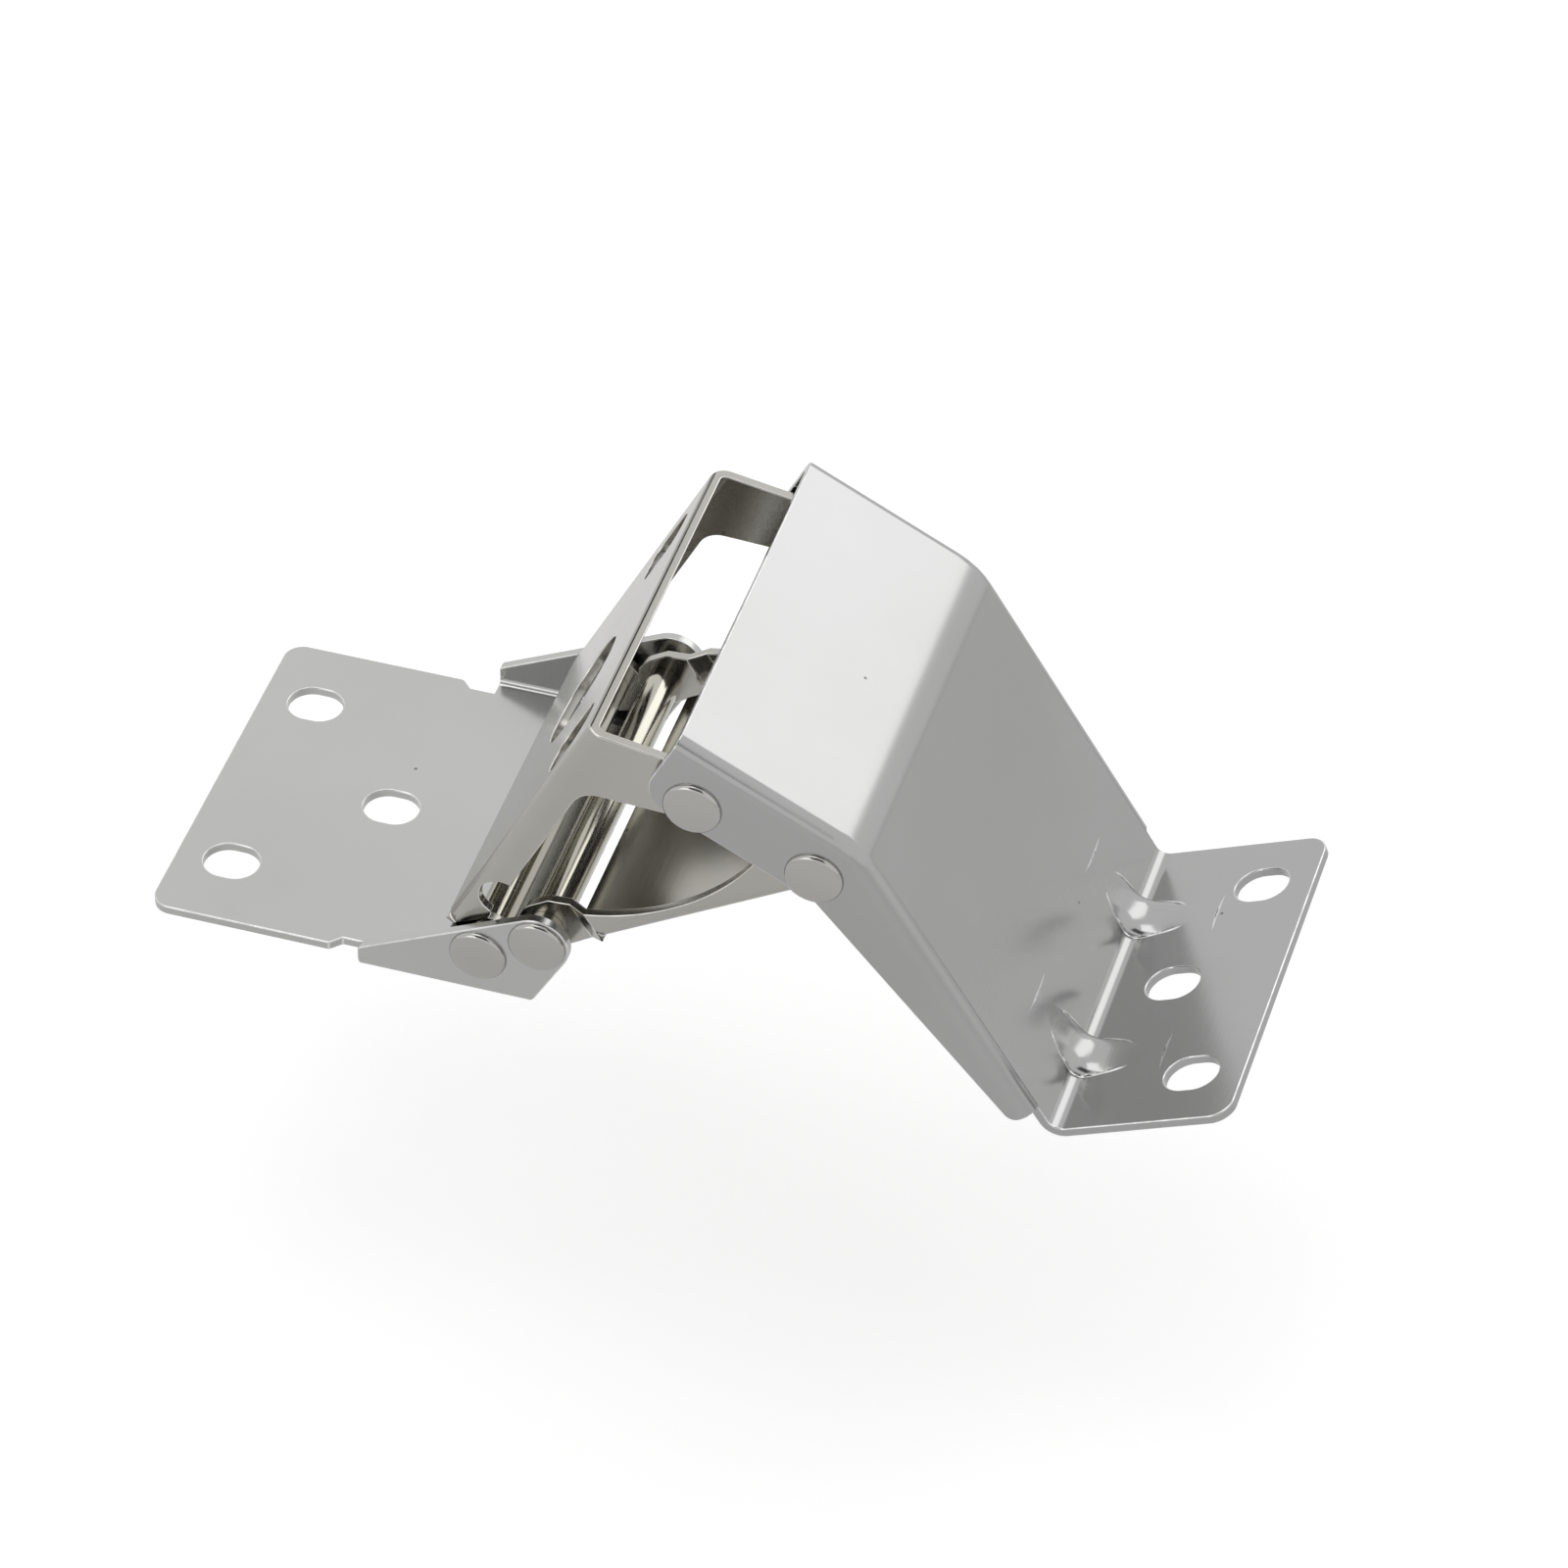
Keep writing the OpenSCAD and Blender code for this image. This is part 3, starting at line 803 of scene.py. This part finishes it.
    def ease_bend(self, shell: bmesh.types.BMesh, to_model: Matrix) -> None:
        """Moves the bend's points from the tight arc to the wide one.

        Args:
            shell: The mesh of the leaf.
            to_model: The matrix from the leaf's frame to the model's.
        """
        to_leaf = to_model.inverted()
        half, turn = math.tan(math.radians(self.turn) / 2), math.radians(self.turn)
        spare, core = math.radians(0.5), 0.4 * self.tight
        for vert in shell.verts:
            spot = to_leaf @ vert.co
            x = spot.x - (self.bend_at - self.tight * half)
            z = spot.z - (self.depth - self.tight)
            angle, reach = math.atan2(x, z), math.hypot(x, z)
            if -spare < angle < turn + spare and reach > core:
                reach += self.wide - self.tight
                spot.x = self.bend_at - self.wide * half + reach * math.sin(angle)
                spot.z = self.depth - self.wide + reach * math.cos(angle)
                vert.co = to_model @ spot


# Pins and rivets, turned and set by Geometry Nodes


def turned_solid(tree: Tree, source: bpy.types.NodeOutputs, outline: Socket) -> Socket:
    """Bends a grid round Y so that each of its rows follows the outline.

    Args:
        tree: The Geometry Nodes tree.
        source: The tree's inputs.
        outline: The geometry with the outline's points.

    Returns:
        The socket with the closed solid.
    """
    count, rows = source["Outline points"], math_value(tree, "ADD", source["Segments"], 1.0)
    last = math_value(tree, "SUBTRACT", count, 1.0)
    grid = add_node(tree, "GeometryNodeMeshGrid", {"Vertices X": count, "Vertices Y": rows})
    place = tree.nodes.new("GeometryNodeInputPosition").outputs[0]
    share, part = add_node(tree, "ShaderNodeSeparateXYZ", {0: place}).outputs[:2]
    along = math_value(tree, "MULTIPLY_ADD", share, last, math_value(tree, "MULTIPLY", last, 0.5))
    index = math_value(tree, "ROUND", along)
    sample = add_node(tree, "GeometryNodeSampleIndex", {"Geometry": outline, "Value": place, "Index": index},
                      data_type="FLOAT_VECTOR")
    radius, height = add_node(tree, "ShaderNodeSeparateXYZ", {0: sample.outputs[0]}).outputs[:2]
    turn = math_value(tree, "MULTIPLY", part, math.tau)
    x, z = (math_value(tree, "MULTIPLY", math_value(tree, wave, turn), radius)
            for wave in ("COSINE", "SINE"))
    spot = add_node(tree, "ShaderNodeCombineXYZ", {0: x, 1: height, 2: z})
    turned = add_node(tree, "GeometryNodeSetPosition", {
        "Geometry": grid.outputs["Mesh"], "Position": spot.outputs[0]})
    return add_node(tree, "GeometryNodeMergeByDistance", {
        "Geometry": turned.outputs[0], "Distance": MERGE}).outputs[0]


def turning_tree() -> Tree:
    """Builds the tree that turns an outline about Y and sets it at each seat.

    Returns:
        The Geometry Nodes tree.
    """
    tree = bpy.data.node_groups.new("Turned and set", "GeometryNodeTree")
    for name, kind in (("Geometry", "NodeSocketGeometry"), ("Outline points", "NodeSocketInt"),
                       ("Segments", "NodeSocketInt"), ("Finish", "NodeSocketMaterial")):
        tree.interface.new_socket(name, in_out="INPUT", socket_type=kind)
    tree.interface.new_socket("Geometry", in_out="OUTPUT", socket_type="NodeSocketGeometry")
    source = tree.nodes.new("NodeGroupInput").outputs
    seat, side = (add_node(tree, "GeometryNodeInputNamedAttribute", {"Name": name}, data_type=kind)
                  for name, kind in (("seat", "BOOLEAN"), ("side", "FLOAT")))
    split = add_node(tree, "GeometryNodeSeparateGeometry", {
        "Geometry": source["Geometry"], "Selection": seat.outputs["Attribute"]}).outputs
    flip = math_value(tree, "MULTIPLY_ADD", side.outputs["Attribute"], -math.pi / 2, math.pi / 2)
    facing_side = add_node(tree, "ShaderNodeCombineXYZ", {2: flip})
    copies = add_node(tree, "GeometryNodeInstanceOnPoints", {
        "Points": split["Selection"], "Instance": turned_solid(tree, source, split["Inverted"]),
        "Rotation": facing_side.outputs[0]})
    real = add_node(tree, "GeometryNodeRealizeInstances", {0: copies.outputs[0]})
    dressed = add_node(tree, "GeometryNodeSetMaterial", {
        "Geometry": real.outputs[0], "Material": source["Finish"]})
    add_node(tree, "NodeGroupOutput", {0: dressed.outputs[0]})
    return tree


@dataclass
class TurnedPart:
    """A turned pin or rivet, repeated at the pivots by Geometry Nodes.

    Args:
        name: The piece's name.
        nodes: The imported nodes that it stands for.
        body: The body that it rides on.
        outline: Pairs of radius and place along the pivot, from one end on the axis to the other.
        seats: Where it is set: x, z and side, 1 for +Y and -1 for -Y.
        slot: Its material slot.
        segments: Faces round it.
        sharp: Edges that turn more than this, in degrees, stay sharp.
    """

    name: str
    nodes: tuple[str, ...]
    body: Body
    outline: Outline
    seats: list[tuple[float, float, int]]
    slot: Slot = Slot.RIVET
    segments: int = 64
    sharp: float = 50.0

    def source(self) -> bpy.types.Mesh:
        """Makes the mesh that the tree reads: the outline's points, then the seats.

        Returns:
            The mesh, with the attributes seat and side.
        """
        points = [(r, y, 0.0) for r, y in self.outline] + [(x, 0.0, z) for x, z, _ in self.seats]
        mesh = bpy.data.meshes.new(self.name)
        mesh.from_pydata(points, [], [])
        first = len(self.outline)
        seat = [index >= first for index in range(len(points))]
        side = [0.0] * first + [float(s) for _, _, s in self.seats]
        for key, kind, values in (("seat", "BOOLEAN", seat), ("side", "FLOAT", side)):
            mesh.attributes.new(key, kind, "POINT")
            mesh.attributes[key].data.foreach_set("value", values)
        return mesh

    def build(self, tree: Tree, materials: Finishes) -> bpy.types.Object:
        """Turns the outline, sets it at the seats and dresses it.

        Args:
            tree: The Geometry Nodes tree that turns outlines.
            materials: The finish of each slot.

        Returns:
            The finished piece.
        """
        piece = add_object(self.name, self.source())
        turning = piece.modifiers.new("turned", "NODES")
        turning.node_group = tree
        values = {"Outline points": len(self.outline), "Segments": self.segments,
                  "Finish": materials[self.slot]}
        for item in tree.interface.items_tree:
            if item.item_type == "SOCKET" and item.in_out == "INPUT" and item.name in values:
                turning[item.identifier] = values[item.name]
        piece = baked(piece)
        shell = bmesh.new()
        shell.from_mesh(piece.data)
        bmesh.ops.remove_doubles(shell, verts=shell.verts, dist=MERGE)
        bmesh.ops.recalc_face_normals(shell, faces=shell.faces)
        for edge in shell.edges:
            edge.smooth = edge.calc_face_angle(0.0) < math.radians(self.sharp)
        for face in shell.faces:
            face.smooth = True
        shell.to_mesh(piece.data)
        shell.free()
        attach(piece, self.body.value)
        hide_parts(*self.nodes)
        return piece


@dataclass
class Fasteners:
    """The long pins and the rivets, with domed heads.

    Args:
        pin: Radius of the pins and rivets.
        head: Radius of a domed head.
        rise: Height of a domed head.
        tail: Radius of an inner head.
        tail_rise: Height of an inner head.
        roll: Radius of the rounding round a head's foot.
        roll_share: Most that the rounding may take of a head's height.
        roll_end: Angle that the rounding turns through, in degrees.
        roll_steps: Faces up the rounding.
        crown_steps: Faces from the rounding to the crown.
    """

    pin: float = 2.0 * MM
    head: float = 4.35 * MM
    rise: float = 1.1 * MM
    tail: float = 3.2 * MM
    tail_rise: float = 0.8 * MM
    roll: float = 0.75 * MM
    roll_share: float = 0.7
    roll_end: float = 80.0
    roll_steps: int = 7
    crown_steps: int = 12

    def dome(self, foot: float, radius: float, rise: float, way: int) -> Outline:
        """Outlines a low dome with a rolled foot, from its foot to its crown.

        Args:
            foot: Place of the dome's foot along the pivot.
            radius: Its radius.
            rise: Its height.
            way: 1 where it points to +Y, -1 where it points to -Y.

        Returns:
            Pairs of radius and place.
        """
        roll, end = min(self.roll, self.roll_share * rise), math.radians(self.roll_end)
        points = [(radius - roll + roll * math.cos(a), foot + way * roll * math.sin(a))
                  for a in (end * step / self.roll_steps for step in range(self.roll_steps + 1))]
        reach, base = points[-1][0], abs(points[-1][1] - foot)
        for step in range(1, self.crown_steps + 1):
            r = reach * (1 - step / self.crown_steps)
            points.append((r, foot + way * (base + (rise - base) * (1 - (r / reach) ** 2))))
        return points

    def head_outline(self, end: float) -> Outline:
        """Outlines the end of a shank and its outer head, up to the crown at +Y."""
        foot = end - self.rise
        return [(self.pin, foot), *self.dome(foot, self.head, self.rise, 1)]

    def tail_outline(self, end: float) -> Outline:
        """Outlines an inner head from its crown at -Y, and the start of its shank."""
        foot = end + self.tail_rise
        return [*reversed(self.dome(foot, self.tail, self.tail_rise, -1)), (self.pin, foot)]

    def parts(self) -> tuple[TurnedPart, ...]:
        """Lists each kind of pin and rivet, with its outline and its seats.

        Returns:
            The parts, not built yet.
        """
        upper_low, upper_high = (corner.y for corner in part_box("upper_rivet_left"))
        lower_low, lower_high = (corner.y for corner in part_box("lower_rivet_left"))
        tail_low, tail_high = (corner.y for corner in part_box("lower_tail_left"))
        outer = self.head_outline(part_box("rear_pin")[1].y)
        long_pin = [(r, -y) for r, y in reversed(outer)] + outer
        rivet = self.tail_outline(upper_low) + self.head_outline(upper_high)
        stub = [(0.0, lower_low), (self.pin, lower_low), *self.head_outline(lower_high)]
        tail = [*self.tail_outline(tail_low), (self.pin, tail_high), (0.0, tail_high)]
        rear, front, upper, lower = (
            (middle.x, middle.z) for middle in map(
                centre, ("rear_pin", "front_pin", "upper_rivet_left", "lower_rivet_left")))
        at_upper, at_lower = ([(*seat, side) for side in (1, -1)] for seat in (upper, lower))
        return (
            TurnedPart("long_pins", ("rear_pin", "front_pin"), Body.MOUNTING, long_pin,
                       [(*rear, 1), (*front, 1)]),
            TurnedPart("upper_rivets", ("upper_rivet_left", "upper_rivet_right"), Body.CRANKED, rivet,
                       at_upper),
            TurnedPart("lower_rivets", ("lower_rivet_left", "lower_rivet_right"), Body.CRANKED, stub,
                       at_lower),
            TurnedPart("lower_rivet_tails", ("lower_tail_left", "lower_tail_right"), Body.CURVED, tail,
                       at_lower),
        )

    def build(self, materials: Finishes) -> list[bpy.types.Object]:
        """Makes every pin and rivet.

        Args:
            materials: The finish of each slot.

        Returns:
            The finished pieces.
        """
        tree = turning_tree()
        return [part.build(tree, materials) for part in self.parts()]


@dataclass
class Rings:
    """The sleeves, spacers and washers on the pins, which keep their solids.

    Args:
        thin: The finish of the thin washers.
        thick: The finish of the sleeves and spacers.
    """

    thin: Slot = Slot.WASHER
    thick: Slot = Slot.SLEEVE

    def build(self, materials: Finishes) -> list[bpy.types.Object]:
        """Gives every node that is still seen its finish.

        Args:
            materials: The finish of each slot.

        Returns:
            The dressed nodes.
        """
        seen = [(name, node) for name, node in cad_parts.items() if not node.hide_render]
        for name, node in seen:
            slot = self.thin if "washer" in name else self.thick
            for index in range(len(node.data.materials)):
                node.data.materials[index] = materials[slot]
        return [node for _, node in seen]


# Studio


@dataclass(frozen=True)
class Panel:
    """A soft lamp or a dull card, which faces the object.

    Args:
        name: Its name.
        place: Where it hangs.
        size: Its width and height.
        level: A lamp's power in watts, or a card's grey.
    """

    name: str
    place: tuple[float, float, float]
    size: tuple[float, float]
    level: float


def facing(place: Vector, way: Vector) -> Matrix:
    """Returns the matrix that sets something at a place, looking the given way."""
    return Matrix.Translation(place) @ way.to_track_quat("-Z", "Y").to_matrix().to_4x4()


@dataclass
class Studio:
    """A pale floor, soft lamps, a white background and the camera.

    Args:
        eye: Where the camera stands.
        gaze: The direction in which it looks.
        lens: Its focal length, in millimetres.
        sensor: Width of its sensor, in millimetres.
        aim: The point that lamps and cards face.
        room: Room under the hinge for its leaf when it is folded down.
        floor_width: Width of the floor.
        floor_grey: Grey of the floor.
        floor_glow: Light that the floor adds where it is seen.
        floor_in_metal: Share of that light in the metal's reflections.
        light: Level of the background as light.
        lamps: The soft lamps.
        cards: The dull cards.
    """

    eye: Vector = field(default_factory=lambda: Vector((0.2931, -0.6875, 0.6924)))
    gaze: Vector = field(default_factory=lambda: Vector((-0.217, 0.6994, -0.681)))
    lens: float = 155.9
    sensor: float = 36.0
    aim: Vector = field(default_factory=lambda: Vector((0.07, 0.0, 0.02)))
    room: float = 52.0 * MM
    floor_width: float = 12.0
    floor_grey: float = 0.86
    floor_glow: float = 0.5
    floor_in_metal: float = 0.5
    light: float = 0.5
    lamps: tuple[Panel, ...] = (
        Panel("back_softbox", (0.75, 1.15, 1.0), (1.1, 0.8), 2.8),
        Panel("top_softbox", (-0.3, 0.2, 1.5), (0.9, 0.9), 2.6),
        Panel("front_softbox", (-0.6, -1.2, 0.7), (0.8, 0.8), 2.0),
    )
    cards: tuple[Panel, ...] = (Panel("front_flag", (0.13, -0.88, 1.12), (1.1, 1.0), 0.12),)

    def camera(self) -> None:
        """Sets the camera at the photograph's angle."""
        data = bpy.data.cameras.new("camera")
        data.lens, data.sensor_width, data.sensor_height = self.lens, self.sensor, self.sensor
        data.sensor_fit = "HORIZONTAL"
        data.clip_start, data.clip_end = 0.01, 50.0
        made = add_object("camera", data)
        made.matrix_world = facing(self.eye, self.gaze.normalized())
        bpy.context.scene.camera = made

    def flat(self, name: str, size: tuple[float, float], turn: Matrix,
             finish: bpy.types.Material) -> bpy.types.Object:
        """Adds a plain rectangle to the studio.

        Args:
            name: Its name.
            size: Its width and height.
            turn: Its place and direction.
            finish: Its material.

        Returns:
            The new object.
        """
        mesh = bpy.data.meshes.new(name)
        w, h = size[0] / 2, size[1] / 2
        corners = [turn @ Vector(corner) for corner in ((-w, -h, 0), (w, -h, 0), (w, h, 0), (-w, h, 0))]
        mesh.from_pydata(corners, [], [(0, 1, 2, 3)])
        mesh.materials.append(finish)
        return add_object(name, mesh)

    def floor(self, height: float) -> None:
        """Lays a plain pale floor under the object, which is clear when seen from below.

        Args:
            height: Height of the floor.
        """
        finish = bpy.data.materials.new("pale_floor")
        finish.use_nodes = True
        tree = finish.node_tree
        shader = tree.nodes["Principled BSDF"]
        shader.inputs["Base Color"].default_value = (*[self.floor_grey] * 3, 1.0)
        shader.inputs["Roughness"].default_value = 0.9
        shader.inputs["Specular IOR Level"].default_value = 0.0
        lift = math_value(tree, "MULTIPLY", seen_rays(tree, self.floor_in_metal), self.floor_glow)
        glow = add_node(tree, "ShaderNodeEmission", {"Color": (1.0, 1.0, 1.0, 1.0), "Strength": lift})
        both = add_node(tree, "ShaderNodeAddShader", {0: shader.outputs[0], 1: glow.outputs[0]})
        clear = tree.nodes.new("ShaderNodeBsdfTransparent")
        back = tree.nodes.new("ShaderNodeNewGeometry").outputs["Backfacing"]
        side = add_node(tree, "ShaderNodeMixShader", {0: back, 1: both.outputs[0], 2: clear.outputs[0]})
        tree.links.new(side.outputs[0], tree.nodes["Material Output"].inputs[0])
        place = Matrix.Translation((0.0, 0.0, height))
        made = self.flat("floor", (self.floor_width, self.floor_width), place, finish)
        made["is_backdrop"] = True

    def world(self) -> None:
        """Makes the background white where it is seen, and a soft grey as light."""
        world = bpy.data.worlds.new("studio")
        world.use_nodes = True
        bpy.context.scene.world = world
        tree = world.node_tree
        back = tree.nodes["Background"]
        back.inputs["Color"].default_value = (1.0, 1.0, 1.0, 1.0)
        level = math_value(tree, "MULTIPLY_ADD", seen_rays(tree), 1.0 - self.light, self.light)
        tree.links.new(level, back.inputs["Strength"])

    def lamp(self, panel: Panel) -> None:
        """Hangs a soft rectangular lamp that points at the object.

        Args:
            panel: Its place, size and power.
        """
        data = bpy.data.lights.new(panel.name, "AREA")
        data.shape, data.size, data.size_y = "RECTANGLE", *panel.size
        data.energy = panel.level
        made = add_object(panel.name, data)
        made.matrix_world = facing(Vector(panel.place), self.aim - Vector(panel.place))

    def card(self, panel: Panel) -> None:
        """Hangs a dull card that only the metal's reflections see, as a photographer's flag.

        Args:
            panel: Its place, size and grey.
        """
        finish = bpy.data.materials.new(panel.name)
        finish.use_nodes = True
        tree = finish.node_tree
        tree.nodes.remove(tree.nodes["Principled BSDF"])
        glow = add_node(tree, "ShaderNodeEmission", {"Color": (*[panel.level] * 3, 1.0)})
        tree.links.new(glow.outputs[0], tree.nodes["Material Output"].inputs[0])
        turn = facing(Vector(panel.place), self.aim - Vector(panel.place))
        made = self.flat(panel.name, panel.size, turn, finish)
        made.visible_camera = made.visible_diffuse = made.visible_shadow = False
        made.visible_transmission = False
        made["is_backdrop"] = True

    def build(self, low: float) -> None:
        """Sets up the whole studio.

        Args:
            low: The lowest point of the object.
        """
        bpy.context.scene.view_settings.view_transform = "Standard"
        self.camera()
        self.floor(low - self.room)
        self.world()
        for panel in self.lamps:
            self.lamp(panel)
        for panel in self.cards:
            self.card(panel)


def main() -> None:
    """Builds the hinge's looks piece by piece."""
    logging.basicConfig(level=logging.INFO, format="%(name)s: %(message)s")
    before = [list(corner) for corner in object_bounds()]
    groups = GroupMaker().make_all()
    materials = {finish.slot: finish.material(groups) for finish in FINISHES}
    sheets = (
        FoldedSheet("mounting_leaf", Body.MOUNTING, Slot.PLATE),
        FoldedSheet("window_link", Body.WINDOW, Slot.LINK),
        CurvedSheet("curved_link", Body.CURVED, Slot.LINK),
        CrankedSheet("cranked_leaf", Body.CRANKED, Slot.BRIGHT),
    )
    pieces = [sheet.build(materials) for sheet in sheets]
    pieces += Fasteners().build(materials)
    pieces += Rings().build(materials)
    for piece in pieces:
        LOG.info("%s: %d faces", piece.name, len(piece.data.polygons))
    Studio().build(before[0][2])


if __name__ == "__main__":
    main()
